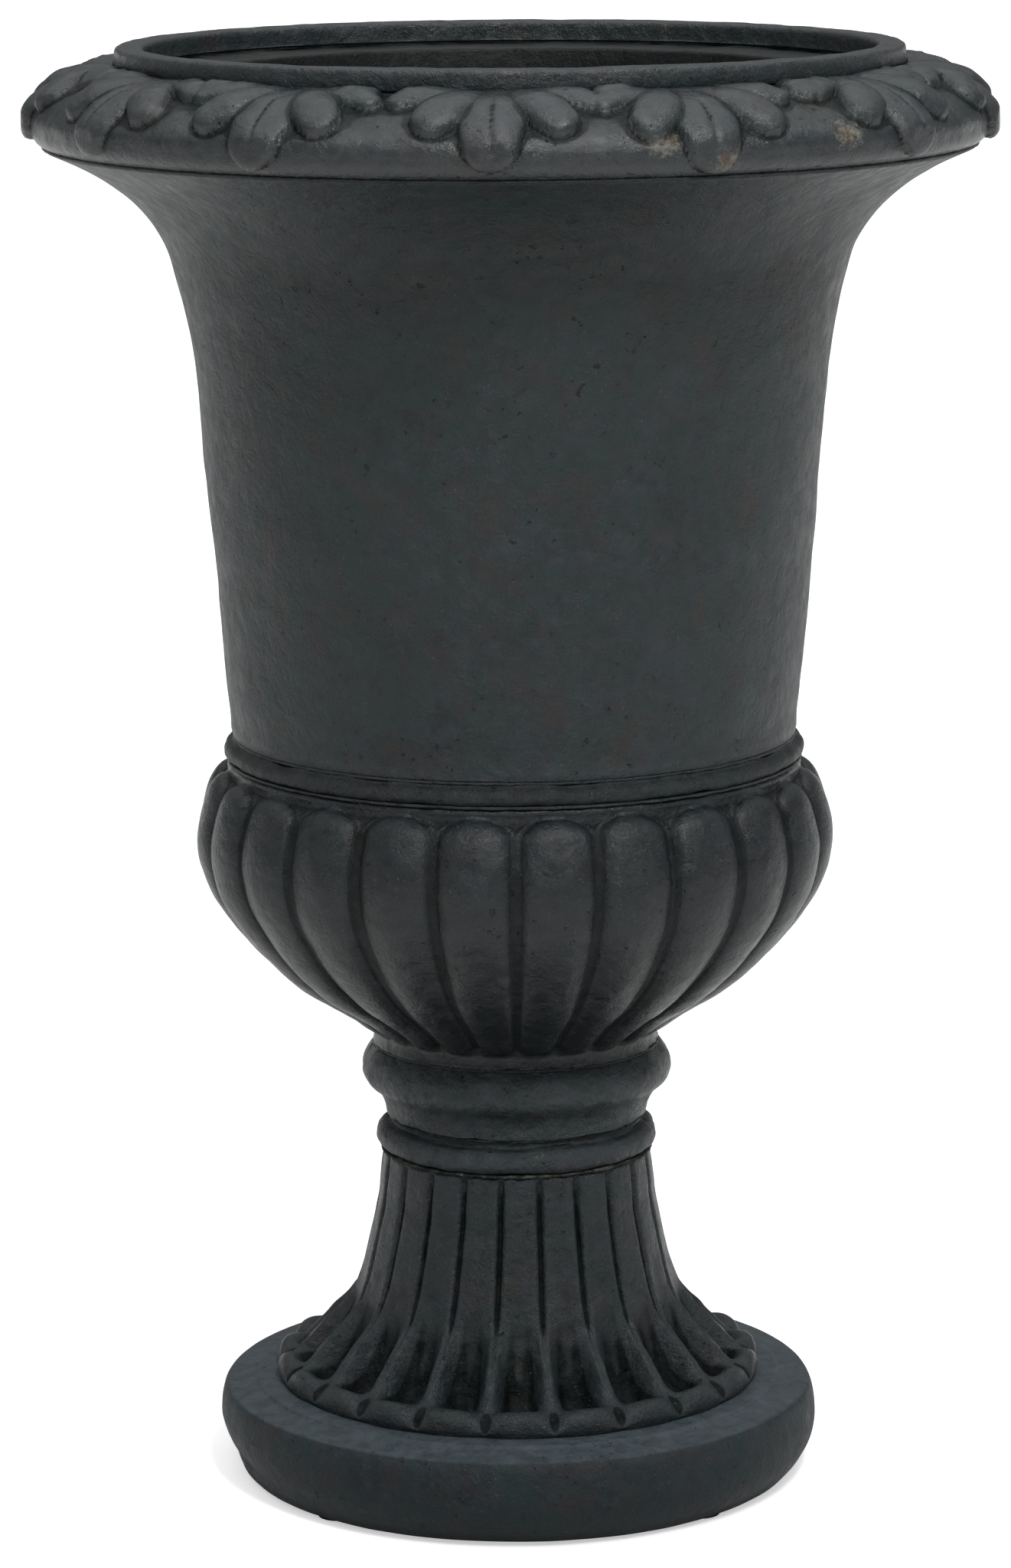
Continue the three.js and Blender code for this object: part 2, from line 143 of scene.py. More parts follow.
def smooth_line(points, spacing):
    """Even points, about `spacing` mm apart, on a smooth line through [r, z] points. One more point
    close to each end keeps the shading of the next face off this one."""
    given = np.array(points, float)
    if len(given) > 2:
        ends = np.vstack([2 * given[0] - given[1], given, 2 * given[-1] - given[-2]])
        share = np.linspace(0, 1, 24, endpoint=False)[:, None]
        parts = []
        for a, b, c, d in zip(ends, ends[1:], ends[2:], ends[3:]):
            steps = [max(np.linalg.norm(q - p), 1e-6) ** 0.5 for p, q in ((a, b), (b, c), (c, d))]
            out = ((b - a) / steps[0] - (c - a) / (steps[0] + steps[1]) + (c - b) / steps[1]) * steps[1]
            into = ((c - b) / steps[1] - (d - b) / (steps[1] + steps[2]) + (d - c) / steps[2]) * steps[1]
            if a is ends[0]:
                out = c - b
            parts.append((2 * share**3 - 3 * share**2 + 1) * b + (share**3 - 2 * share**2 + share) * out
                         + (3 * share**2 - 2 * share**3) * c + (share**3 - share**2) * into)
        given = np.vstack([*parts, given[-1:]])
    run = np.concatenate([[0], np.cumsum(np.linalg.norm(np.diff(given, axis=0), axis=1))])
    even = np.linspace(0, run[-1], max(2, round(run[-1] / spacing) + 1))
    line = np.column_stack([np.interp(even, run, given[:, i]) for i in (0, 1)])
    near_start, near_end = 0.75 * line[0] + 0.25 * line[1], 0.75 * line[-1] + 0.25 * line[-2]
    return np.vstack([line[:1], near_start, line[1:-1], near_end, line[-1:]])


def outline_of(*parts):
    """One closed outline from lines and single points, without doubled points."""
    points = np.vstack([np.atleast_2d(np.array(part, float)) for part in parts])
    apart = np.linalg.norm(points - np.roll(points, 1, axis=0), axis=1) > 0.05
    return points[apart]


def outward(outline):
    """Unit [r, z] directions that point out of a closed outline, at each of its points."""
    way = np.roll(outline, -1, axis=0) - np.roll(outline, 1, axis=0)
    way /= np.linalg.norm(way, axis=1)[:, None]
    return np.column_stack([way[:, 1], -way[:, 0]])


def in_scene(name, bm):
    """An object in the scene with the mesh of a finished bmesh."""
    mesh = bpy.data.meshes.new(name)
    bm.to_mesh(mesh)
    bm.free()
    piece = bpy.data.objects.new(name, mesh)
    bpy.context.scene.collection.objects.link(piece)
    return piece


def points_of(mesh):
    """The mesh's points, in metres, one row for each."""
    place = np.empty(len(mesh.vertices) * 3, np.float32)
    mesh.vertices.foreach_get("co", place)
    return place.reshape(-1, 3).astype(float)


def turned(name, outline, sectors, steps, carve=None, lumps=0.5, lump_size=45, seed=0.0, seam=None):
    """Turns a closed outline about the axis: one sector is spun, and its copies close the ring.
    carve(angle, row, r, z) gives each point's carved [r, z]. lumps is the height of the hand finish,
    and lump_size its reach, in mm. It fades out over the last 12 mm before the height `seam`."""
    bm = bmesh.new()
    row_layer = bm.verts.layers.float.new("row")
    ring = []
    for row, (r, z) in enumerate(outline):
        ring.append(bm.verts.new((0, -r / 1000, z / 1000)))
        ring[-1][row_layer] = row
    edges = [bm.edges.new(pair) for pair in zip(ring, ring[1:] + ring[:1])]
    sector = 2 * math.pi / sectors
    about = {"cent": (0, 0, 0), "axis": (0, 0, 1)}
    bmesh.ops.spin(bm, geom=ring + edges, angle=sector, steps=steps, **about)
    whole = bm.verts[:] + bm.edges[:] + bm.faces[:]
    rest = 2 * math.pi - sector
    bmesh.ops.spin(bm, geom=whole, angle=rest, steps=sectors - 1, use_duplicate=True, **about)
    bmesh.ops.remove_doubles(bm, verts=bm.verts, dist=1e-6)
    bmesh.ops.recalc_face_normals(bm, faces=bm.faces)
    piece = in_scene(name, bm)
    mesh = piece.data
    place = points_of(mesh)
    row = np.empty(len(place), np.float32)
    mesh.attributes["row"].data.foreach_get("value", row)
    row = np.rint(row).astype(int)
    mesh.attributes.remove(mesh.attributes["row"])
    angle = np.arctan2(place[:, 0], -place[:, 1])
    r, z = outline[row, 0], outline[row, 1]
    if carve is not None:
        r, z = carve(angle, row, r, z)
    if lumps:
        out = outward(outline)[row]
        spots = np.column_stack([r * np.sin(angle), -r * np.cos(angle), z]) / lump_size + seed
        swell = np.array([noise.fractal(Vector(spot), 0.9, 2.1, 3) for spot in spots]) * lumps
        if seam is not None:
            swell = swell * np.clip(np.abs(z - seam) / 12, 0, 1)
        r, z = r + swell * out[:, 0], z + swell * out[:, 1]
    place = np.column_stack([r * np.sin(angle), -r * np.cos(angle), z]) / 1000
    mesh.vertices.foreach_set("co", place.astype(np.float32).ravel())
    mesh.polygons.foreach_set("use_smooth", np.ones(len(mesh.polygons), bool))
    mesh.update()
    return piece


def drill(piece, holes):
    """Cuts round holes, each (x, y, radius, low, high) in mm, out of a finished casting."""
    bm = bmesh.new()
    for x, y, radius, low, high in holes:
        middle = Matrix.Translation((x / 1000, y / 1000, (low + high) / 2000))
        bmesh.ops.create_cone(bm, cap_ends=True, segments=40, radius1=radius / 1000, radius2=radius / 1000,
                              depth=(high - low) / 1000, matrix=middle)
    tool = in_scene("drill", bm)
    cut = piece.modifiers.new("cut", "BOOLEAN")
    cut.operation, cut.solver, cut.object = "DIFFERENCE", "EXACT", tool
    bpy.context.view_layer.update()
    drilled = piece.evaluated_get(bpy.context.evaluated_depsgraph_get())
    done = bpy.data.meshes.new_from_object(drilled)
    piece.modifiers.clear()
    piece.data = done
    bpy.data.objects.remove(tool)


def mark_relief(piece, seam=None):
    """Writes how far each point stands out of its surroundings, -1 in hollows to 1 on edges. From it the
    finish paints grime and shade into the hollows, and rubbing and highlights onto the edges. It is the sum
    of a fine and a coarse measure: the reach of the surroundings, and the height that counts as 1, both in
    mm. It fades over the last 7 mm before a flush seam at the height `seam`."""
    mesh = piece.data
    place = points_of(mesh)
    count = len(place)
    ends = np.empty(len(mesh.edges) * 2, np.int32)
    mesh.edges.foreach_get("vertices", ends)
    a, b = ends.reshape(-1, 2).T
    both, other = np.concatenate([a, b]), np.concatenate([b, a])
    near = np.bincount(both, minlength=count)
    out = np.empty(count * 3, np.float32)
    mesh.vertex_normals.foreach_get("vector", out)
    out = out.reshape(-1, 3)
    smooth = place.copy()
    stand = np.zeros(count)
    step = np.median(np.linalg.norm(place[a] - place[b], axis=1)) * 1000
    for reach, full in ((2.5, 0.8), (6.5, 2.6)):
        for _ in range(max(1, round((reach / step) ** 2 * 2))):
            smooth = np.column_stack([np.bincount(both, smooth[other, i], count) / near for i in range(3)])
        stand += ((place - smooth) * out).sum(axis=1) * 1000 / full
    if seam is not None:
        stand *= np.clip(np.abs(place[:, 2] * 1000 - seam) / 7, 0, 1)
    stand_layer = mesh.attributes.new("stand", "FLOAT", "POINT")
    stand_layer.data.foreach_set("value", np.clip(stand, -1, 1).astype(np.float32))


def toned(colour, by):
    """A colour with its red, green and blue multiplied, all alike or each by its own number."""
    return tuple(c * k for c, k in zip(colour, by if isinstance(by, tuple) else (by,) * 3))


def cast_stone(name, dark, pale, dirt_and_shade=0.7, wear_and_highlight=0.5, rough=0.42, sheen=0.34, crust=0.5, bloom=False,
               inner=0.0, grit=1.0, top=None):
    """Dark cast stone: mottled, granular and pitted, with grime and painted shade in its hollows and
    rubbing and a painted highlight on its edges. dark and pale are the colours of its mottling. dirt says
    how dark the hollows are painted, for grime and shade, worn how light the edges are painted, for rubbing
    and highlight, crust how much there is of pits, and bloom whether lime has come out of it. rough and
    sheen are its polish, and grit is the depth of its relief. What lies within the radius `inner` is
    painted darker, and what lies above the height `top` is painted lighter, for dust and for the light from
    above, both in metres."""
    made, nodes, links, shader, place = new_material(name)
    cloud = between(nodes, links, grain(nodes, links, place, 12, 4, 0.6, 0.5), 0.36, 0.64)
    mottle = between(nodes, links, grain(nodes, links, place, 105, 6, 0.72, 0.3), 0.36, 0.66)
    sand = grain(nodes, links, place, 1300, 3, 0.7)
    colour = tint(nodes, links, cloud, dark, pale)
    light = between(nodes, links, mottle, 0.1, 1, 0, 0.6)
    colour = tint(nodes, links, light, colour, toned(pale, 1.9))
    teal = between(nodes, links, grain(nodes, links, place, 44, 6, 0.75, 0.6), 0.46, 0.62, 0, 0.9)
    colour = tint(nodes, links, teal, colour, toned(pale, (0.68, 1.12, 0.96)))
    russet = between(nodes, links, grain(nodes, links, place, 37, 6, 0.75, 0.4), 0.51, 0.66, 0, 0.8)
    colour = tint(nodes, links, russet, colour, toned(pale, (1.42, 0.94, 0.8)))
    grains = between(nodes, links, sand, 0.52, 0.32, 0, 0.4)
    colour = tint(nodes, links, grains, colour, toned(dark, 0.3))

    # Hollows are painted darker and duller: grime, and painted shade where shade falls in them.
    stand = nodes.new("ShaderNodeAttribute")
    stand.attribute_name = "stand"
    hollow = between(nodes, links, stand.outputs["Fac"], -0.05, -0.5)
    dirt_and_shade_share = between(nodes, links, mottle, 0, 1, dirt_and_shade, dirt_and_shade * 0.6)
    hollow = sums(nodes, links, "MULTIPLY", hollow, dirt_and_shade_share)
    colour = tint(nodes, links, hollow, colour, (0.0038, 0.0054, 0.0050))
    # Edges are painted lighter: rubbing, and a painted highlight.
    edge = between(nodes, links, stand.outputs["Fac"], 0.1, 0.7)
    rubbed = between(nodes, links, mottle, 0.1, 0.9, wear_and_highlight * 0.4, wear_and_highlight)
    edge = sums(nodes, links, "MULTIPLY", edge, rubbed)
    colour = tint(nodes, links, edge, colour, toned(pale, 1.9))

    pit = between(nodes, links, grain(nodes, links, place, 240, 3, 0.6), 0.35, 0.29)
    pitted = between(nodes, links, grain(nodes, links, place, 42, 3, 0.6), 0.44, 0.6)
    pit = sums(nodes, links, "MULTIPLY", pit, pitted)
    pit_dirt = sums(nodes, links, "MULTIPLY", pit, crust)
    colour = tint(nodes, links, pit_dirt, colour, (0.004, 0.005, 0.0045))
    fleck = between(nodes, links, grain(nodes, links, place, 950, 2, 0.6), 0.655, 0.70)
    flecked = between(nodes, links, grain(nodes, links, place, 58, 5, 0.75), 0.44, 0.6)
    fleck = sums(nodes, links, "MULTIPLY", sums(nodes, links, "MULTIPLY", fleck, flecked), 0.8)
    colour = tint(nodes, links, fleck, colour, (0.12, 0.145, 0.135))

    if bloom:
        salt = nodes.new("ShaderNodeAttribute")
        salt.attribute_name = "bloom"
        scab = grain(nodes, links, place, 420, 4, 0.75)
        scab = between(nodes, links, sums(nodes, links, "ADD", scab, salt.outputs["Fac"]), 0.98, 1.24)
        ochre = between(nodes, links, grain(nodes, links, place, 170, 2), 0.46, 0.6)
        lime = tint(nodes, links, ochre, (0.22, 0.205, 0.175), (0.12, 0.07, 0.03))
        colour = tint(nodes, links, scab, colour, lime)
    apart = nodes.new("ShaderNodeSeparateXYZ")
    links.new(place, apart.inputs[0])
    # Above the height top the colour is painted lighter: dust, and painted light from above.
    if top is not None:
        dust = between(nodes, links, apart.outputs["Z"], top - 0.0004, top + 0.0006)
        dust = sums(nodes, links, "MULTIPLY", dust, between(nodes, links, mottle, 0, 1, 0.35, 1.0))
        colour = tint(nodes, links, dust, colour, toned(pale, 3.0))
    # Within the radius inner the colour is painted darker, and the surface duller.
    if inner:
        squares = [sums(nodes, links, "MULTIPLY", apart.outputs[axis], apart.outputs[axis])
                   for axis in ("X", "Y")]
        across = sums(nodes, links, "ADD", *squares)
        darker_inside = between(nodes, links, across, inner**2, (inner - 0.003) ** 2, 0, 0.8)
        colour = tint(nodes, links, darker_inside, colour, (0.007, 0.0085, 0.008))
        hollow = sums(nodes, links, "MAXIMUM", hollow, darker_inside)
    links.new(colour, shader.inputs["Base Color"])

    dull = between(nodes, links, mottle, 0, 1, rough - 0.08, rough + 0.1)
    dull = sums(nodes, links, "ADD", dull, sums(nodes, links, "MULTIPLY", hollow, 0.25))
    dull = sums(nodes, links, "SUBTRACT", dull, sums(nodes, links, "MULTIPLY", edge, 0.1))
    links.new(dull, shader.inputs["Roughness"])
    gleam = between(nodes, links, hollow, 0, 1, sheen, 0.2 * sheen)
    links.new(gleam, shader.inputs["Specular IOR Level"])
    normal = relief_bump(nodes, links, mottle, 0.001 * grit)
    normal = relief_bump(nodes, links, grain(nodes, links, place, 430, 3, 0.65), 0.0004 * grit, normal)
    normal = relief_bump(nodes, links, sand, 0.0002, normal)
    normal = relief_bump(nodes, links, sums(nodes, links, "SUBTRACT", 1.0, pit), 0.0009, normal)
    links.new(normal, shader.inputs["Normal"])
    return made


def dress(piece, material, node, seam=None):
    """Gives a casting its finish, puts it in place of its CAD node and lets it ride with the urn."""
    # The relief written here drives the painted shade and highlight of the finish.
    mark_relief(piece, seam)
    piece.data.materials.clear()
    piece.data.materials.append(material)
    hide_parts(node)
    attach(piece, "root")


plinth_side = smooth_line([[137.2, 2], [140.5, 5.4], [144.8, 10], [148.2, 15.6], [149.8, 23], [149.8, 31],
                           [149, 38], [147.9, 41.8], [146.9, 43.4]], 1.3)
plinth_step = smooth_line([[146.9, 43.4], [146.2, 44], [145, 44.4], [141, 45], [136, 45.9],
                           [132.6, 46.4]], 1)
plinth_seat = [[131.4, 46.9], [131.1, 47.5], [130.4, 47.9], [129, 48], [121, 48], [100, 48], [80, 48]]
plinth_bore = [[80, 38], [80, 28], [96, 28], [112, 28], [112, 15], [112, 2], [124, 2]]
plinth_outline = outline_of(plinth_side, plinth_step, plinth_seat, plinth_bore)


def plinth_carve(angle, row, r, z):
    """The side keeps the slow waves of a hand rubbed casting, and is rubbed hollow low on the left."""
    side = np.clip((r - 132) / 6, 0, 1) * np.clip((z - 4) / 8, 0, 1)
    wave = 0.35 * np.sin(3 * angle + 0.8) + 0.25 * np.sin(7 * angle + z / 9)
    left = (angle + 1.35 + math.pi) % (2 * math.pi) - math.pi
    rubbed = 4.2 * np.exp(-((left / 0.5) ** 2)) * np.clip((30 - z) / 16, 0, 1)
    return r + side * (wave - 0.6 - rubbed), z


plinth_piece = turned("plinth_casting", plinth_outline, 16, 18, plinth_carve, lumps=0.3, seed=1.3)
pad_ring, pocket_radius, pocket_depth = (112 + 138) / 2, 10.3, 4.2
pad_spots = [pad_ring * math.sqrt(0.5) * sign for sign in (-1, 1)]
drill(plinth_piece, [(x, y, pocket_radius, -1, pocket_depth) for x in pad_spots for y in pad_spots])
plinth_stone = cast_stone("plinth_stone", (0.0126, 0.0171, 0.0207), (0.0236, 0.0300, 0.0345),
                          rough=0.5, sheen=0.2, crust=0.7, grit=0.6, top=0.0438)
dress(plinth_piece, plinth_stone, "plinth")


# ---------------------------------------------------------------- stem
# The trumpet stem: spoon shaped leaves that end in rounded lips on the plinth and close into ribs at
# the neck. It is cast hollow, and a spigot at each end finds the plinth and the neck ring.

leaf_count = 22
leaf_turn = math.radians(0.3)
leaf_twist = math.radians(1.2)

# The midline of a leaf and the ridge between two leaves, point for point from the tip to the neck.
mid_leaf = [[120, 48], [121, 52], [120.6, 56.4], [118.4, 59.6], [114.2, 60], [108.4, 56.2], [102.4, 52],
            [96.6, 52.4], [92, 57.4], [89.5, 64], [87.5, 70], [84.5, 78], [81.8, 86], [79, 95], [76.3, 105],
            [73.5, 118], [71, 130], [69, 140], [68, 150], [66.4, 163.5]]
leaf_edge = [[119, 48], [120.1, 49.5], [119.2, 51.3], [116.8, 53.6], [113, 57], [108.6, 61.6], [104, 66.6],
             [100, 71], [96.5, 75.5], [91.5, 80], [88, 84], [85, 88], [82.2, 92], [79.5, 98.5],
             [77.5, 105], [74.2, 118], [71.5, 130], [69.4, 140], [68.4, 150], [66.4, 163.5]]
station_rows = 7


def through(points, rows):
    """A smooth line that keeps `rows` steps between each two of its points, whatever their distance."""
    given = np.array(points, float)
    ends = np.vstack([2 * given[0] - given[1], given, 2 * given[-1] - given[-2]])
    share = np.linspace(0, 1, rows, endpoint=False)[:, None]
    parts = [0.5 * (2 * b + (c - a) * share + (2 * a - 5 * b + 4 * c - d) * share**2
                    + (3 * b - a - 3 * c + d) * share**3)
             for a, b, c, d in zip(ends, ends[1:], ends[2:], ends[3:])]
    return np.vstack([*parts, given[-1:]])


leaf_middle_line = through(mid_leaf, station_rows)
leaf_edge_line = through(leaf_edge, station_rows)
leaf_rows = len(leaf_middle_line)
stem_inside = [[53, 163.5], [40, 163.5], [40, 169.5], [34, 169.5], [34, 150], [34, 134], [34, 119.6],
               [38, 105], [44.6, 96.6], [54, 84], [63.6, 73.7], [69, 64], [72, 54], [72, 42],
               [79.5, 42], [79.5, 49.5], [90, 49.5], [100, 49.5], [100, 48], [110, 48]]
stem_outline = outline_of(leaf_middle_line, stem_inside)


def stem_carve(angle, row, r, z):
    """Lofts each leaf from its midline to the ridge that it shares with the next leaf, and cuts the
    groove in that ridge. station counts the points of the two lines from the tip."""
    turn = leaf_turn + leaf_twist * np.clip((z - 60) / 100, 0, 1)
    leaf = (angle - turn) * leaf_count / (2 * math.pi)
    carved = row < leaf_rows
    line = np.minimum(row, leaf_rows - 1)
    place = 2 * np.abs(leaf - np.rint(leaf))
    station = line / station_rows
    lip = np.clip((6.2 - station) / 2.2, 0, 1)
    neck = np.clip((station - 11) / 3, 0, 1)
    arch = place**2.2
    bowl_share = np.clip((place - 0.26) / 0.7, 0, 1)
    bowl_share = bowl_share**2 * (3 - 2 * bowl_share)
    share = lip * arch + (1 - lip) * ((1 - neck) * bowl_share + neck * place**2)
    middle, ridge = leaf_middle_line[line], leaf_edge_line[line]
    new_r = middle[:, 0] + (ridge[:, 0] - middle[:, 0]) * share
    new_z = middle[:, 1] + (ridge[:, 1] - middle[:, 1]) * share
    aside = (1 - place) * math.pi * new_r / leaf_count
    groove = np.exp(-((aside / 1.35) ** 2))
    depth = 1.3 + 1.7 * np.clip((station - 9) / 4, 0, 1)
    depth = depth * np.clip((station - 5) / 3, 0, 1) * np.clip((19.3 - station) / 1.0, 0, 1)
    out = outward(leaf_edge_line)[line]
    new_r = new_r - groove * depth * out[:, 0] - 0.9 * neck * place**4 * np.clip(19.5 - station, 0, 1)
    new_z = new_z - groove * depth * out[:, 1] * (1 - neck)
    return np.where(carved, new_r, r), np.where(carved, np.maximum(new_z, 48), z)


stem_piece = turned("stem_casting", stem_outline, leaf_count, 28, stem_carve, 0.45, 30, 4.1)
stem_stone = cast_stone("stem_stone", (0.0112, 0.0150, 0.0178), (0.0192, 0.0244, 0.0278),
                        dirt_and_shade=1.0, wear_and_highlight=0.3, rough=0.3, crust=0.4, grit=0.7)
dress(stem_piece, stem_stone, "fluted_stem")


def bed_ring(name, node, low, high, inner, outer, material, ragged=0.5, seed=0.0, sunk=1.2):
    """A mortar bed: a flat ring whose squeezed out edge is ragged. ragged scales its crumbling, and
    sunk is how far its two edges fall back behind its middle, in mm."""
    middle = (low + high) / 2
    face = smooth_line([[outer - sunk, low], [outer - sunk / 6, low + 0.2], [outer, middle],
                        [outer - sunk / 6, high - 0.2], [outer - sunk, high]], 0.45)
    outline = outline_of(face, [[inner, high], [inner, low]])

    def crumble(angle, row, r, z):
        spots = zip(np.sin(angle) * r / 7, np.cos(angle) * r / 7, z / 2 + seed)
        bite = np.array([noise.fractal(Vector(spot), 0.8, 2.2, 3) for spot in spots])
        edge = (row < len(face)) * ragged
        return r + np.clip(bite, -1.5, 0.6) * edge, z

    dress(turned(name, outline, 24, 16, crumble, lumps=0), material, node)


def mortar_finish(name, dark, pale):
    """Lime and sand, hand pressed into the seam: crumbly, pale where it is dry."""
    made, nodes, links, shader, place = new_material(name)
    shader.inputs["Specular IOR Level"].default_value = 0.2
    patch = between(nodes, links, grain(nodes, links, place, 85, 5, 0.7), 0.46, 0.64)
    links.new(tint(nodes, links, patch, dark, pale), shader.inputs["Base Color"])
    links.new(between(nodes, links, patch, 0, 1, 0.78, 0.95), shader.inputs["Roughness"])
    normal = relief_bump(nodes, links, grain(nodes, links, place, 700, 4, 0.7), 0.0007)
    links.new(relief_bump(nodes, links, patch, 0.0006, normal), shader.inputs["Normal"])
    return made


seam_mortar = mortar_finish("seam_mortar", (0.02, 0.024, 0.022), (0.06, 0.066, 0.056))
stained_mortar = cast_stone("stained_mortar", (0.0130, 0.0172, 0.0190), (0.0240, 0.0300, 0.0320),
                            dirt_and_shade=0.2, crust=0.8)
pale_mortar = mortar_finish("pale_mortar", (0.018, 0.022, 0.021), (0.15, 0.15, 0.125))
bed_ring("stem_bed_mortar", "stem_bed", 48.0, 49.5, 80.5, 99.5, seam_mortar, seed=1)


# ---------------------------------------------------------------- neck ring
# A half round ring with a small recess above it, set in mortar on the stem. The mortar shows as a
# pale line under the ring and over it.

bed_ring("ring_bed_mortar", "ring_bed", 163.5, 165.0, 41.0, 67.6, pale_mortar, 0.9, seed=2)
ring_round = smooth_line([[64, 165], [67.2, 166], [69.1, 168.6], [69.5, 171.3], [68.9, 174.2],
                          [66.6, 176.6], [63.2, 177.2], [62.1, 177.8]], 0.8)
ring_inside = [[62, 179], [62, 180.5], [50, 180.5], [40, 180.5], [40, 186.5], [34, 186.5], [34, 178],
               [34, 170], [40.5, 170], [40.5, 165], [52, 165]]
ring_piece = turned("neck_ring_casting", outline_of(ring_round, ring_inside), 16, 18, None, 0.8, 17, 2.2)
ring_stone = cast_stone("ring_stone", (0.0214, 0.0275, 0.0313), (0.0347, 0.0425, 0.0468), crust=0.8)
dress(ring_piece, ring_stone, "neck_ring")


# ---------------------------------------------------------------- knop
# A cushion that sweeps out from the neck to a blunt shoulder under the bowl. It is cast in one piece
# with a bore for the rod, bedded in mortar on the neck ring and held down by the rod.

bed_ring("knop_bed_mortar", "knop_bed", 180.5, 182.0, 41.0, 63.6, pale_mortar, 0.9, seed=3)
knop_side = smooth_line([[64.4, 182], [65, 184.5], [65.9, 188], [67.6, 192], [69.8, 195],
                         [72.8, 197.3], [75.3, 200], [76.8, 203.4], [77, 206.6], [76.4, 209.8],
                         [74.8, 213.2], [72.8, 215.9], [71.4, 217.5]], 0.9)
knop_inside = [[64, 217.5], [56, 217.5], [40.5, 217.5], [40.5, 212.5], [34, 212.5], [34, 200], [34, 187],
               [40.5, 187], [40.5, 182], [52, 182]]
knop_piece = turned("knop_casting", outline_of(knop_side, knop_inside), 16, 20, None, 0.9, 22, 5.7)
knop_stone = cast_stone("knop_stone", (0.0282, 0.0364, 0.0411), (0.0461, 0.0571, 0.0623),
                        rough=0.33, crust=0.8)
dress(knop_piece, knop_stone, "neck_knop")


# ---------------------------------------------------------------- gadrooned bowl
# The bowl: twenty four gadroons with rounded tops on a deep shell, a thin fillet between them that
# goes over each top. The upstand on its rim locates the bead and the bell.

bed_ring("bowl_bed_mortar", "bowl_bed", 217.5, 219.0, 41.0, 71.3, stained_mortar, 0.4, seed=4, sunk=0.3)
gadroon_count = 24
bowl_side = smooth_line([[71, 219], [70.4, 222], [70.7, 225], [73.4, 227.2], [79.2, 230.6],
                         [86.4, 235.8], [96.6, 242.6], [108.2, 250], [118.4, 258], [128.9, 268],
                         [137.4, 278], [145, 288.5], [151.7, 300], [155.6, 312], [157.1, 324],
                         [156, 334], [153.4, 344], [150, 352], [146, 357.5], [142, 361]], 1.45)
bowl_rows = len(bowl_side)
bowl_inside = [[140, 362], [132, 362], [124, 362], [124, 370], [124, 377.5], [118, 377.5], [118, 360],
               [118, 340], [118, 322], [118, 308.5], [114, 292], [108.1, 277], [97, 263], [83.7, 254.1],
               [68, 247.5], [52, 243], [30, 243], [7, 243], [7, 230], [7, 213], [24, 213], [40, 213],
               [40, 219], [54, 219]]
bowl_outline = outline_of(bowl_side, bowl_inside)
bowl_run = np.concatenate([[0], np.cumsum(np.linalg.norm(np.diff(bowl_side, axis=0), axis=1))])
lobe_top_run = bowl_run[-1] - 0.6


def bowl_carve(angle, row, r, z):
    """Raises each gadroon out of the ground, rounds its top and runs the fillet round it."""
    carved = row < bowl_rows
    line = np.minimum(row, bowl_rows - 1)
    turn = angle * gadroon_count / (2 * math.pi) + 0.5
    copy = np.rint(turn)
    jitter = 0.02 * np.sin(copy * 2.4) * np.sin(copy * 5.1)
    half_pitch = math.pi * r / gadroon_count
    across = 2 * (turn - copy + jitter) * half_pitch
    share = np.clip((r - 68) / 89, 0, 1)
    half_width = half_pitch * (0.83 + 0.045 * share)
    arch = 15.5
    over = np.maximum(0, arch - (lobe_top_run - bowl_run[line])) * half_width / arch
    outside = np.hypot(across, over) - half_width
    depth = 3.0 + 3.4 * share**0.8
    inside = np.clip(1 + outside / half_width, 0, 1)
    lobe = np.sqrt(np.maximum(0, 1 - inside**2.05))
    lobe = np.where(outside < 0, 0.12 + 0.88 * lobe, 0.12 * np.exp(-((outside / 0.9) ** 2)))
    fillet_at = np.minimum(half_pitch * 0.985 - half_width, 2.9)
    fillet_wide = 0.45 * fillet_at + 0.25
    fillet = 1.5 * share**0.5 * np.exp(-(((outside - fillet_at) / fillet_wide) ** 2))
    foot = np.clip((bowl_run[line] - 6.4) / 3.4, 0, 1)
    brim = np.clip((bowl_run[-1] - bowl_run[line]) / 4 + 0.3, 0, 1)
    foot_groove = 0.9 * np.exp(-(((bowl_run[line] - 6.6) / 0.8) ** 2))
    height = brim * foot * (depth * (lobe - 1) + fillet) - foot_groove
    out = outward(bowl_outline)[line]
    new_r, new_z = r + height * out[:, 0], z + height * out[:, 1]
    return np.where(carved, new_r, r), np.where(carved, np.clip(new_z, 219, 362), z)


bowl_piece = turned("bowl_casting", bowl_outline, gadroon_count, 26, bowl_carve, 0.55, 28, 7.9)
drain_place, drain_radius = (0, -23), 9.3
drill(bowl_piece, [(*drain_place, drain_radius, 205, 250)])
bowl_stone = cast_stone("bowl_stone", (0.0066, 0.0092, 0.0114), (0.0122, 0.0160, 0.0188),
                        dirt_and_shade=0.65, wear_and_highlight=0.3, rough=0.24, sheen=0.4, crust=0.25, grit=0.45)
dress(bowl_piece, bowl_stone, "gadrooned_bowl")


# ---------------------------------------------------------------- drain
# A short grey plastic pipe, cast into the bowl's floor beside the rod and its washers. It empties into
# the hollow neck, from where the water runs down inside the stem.

def pipe_finish(name):
    """Grey pipe, limed by the water that runs through it."""
    made, nodes, links, shader, place = new_material(name)
    lime = between(nodes, links, grain(nodes, links, place, 240, 4), 0.45, 0.7)
    colour = tint(nodes, links, lime, (0.14, 0.15, 0.16), (0.33, 0.32, 0.29))
    links.new(colour, shader.inputs["Base Color"])
    links.new(between(nodes, links, lime, 0, 1, 0.38, 0.8), shader.inputs["Roughness"])
    links.new(relief_bump(nodes, links, lime, 0.0003), shader.inputs["Normal"])
    return made


coat("drain_sleeve", pipe_finish("drain_plastic"))


# ---------------------------------------------------------------- bead
# A half round ring that drops over the bowl's upstand. Mortar fills the seams above and below it and
# is smeared over it in places.

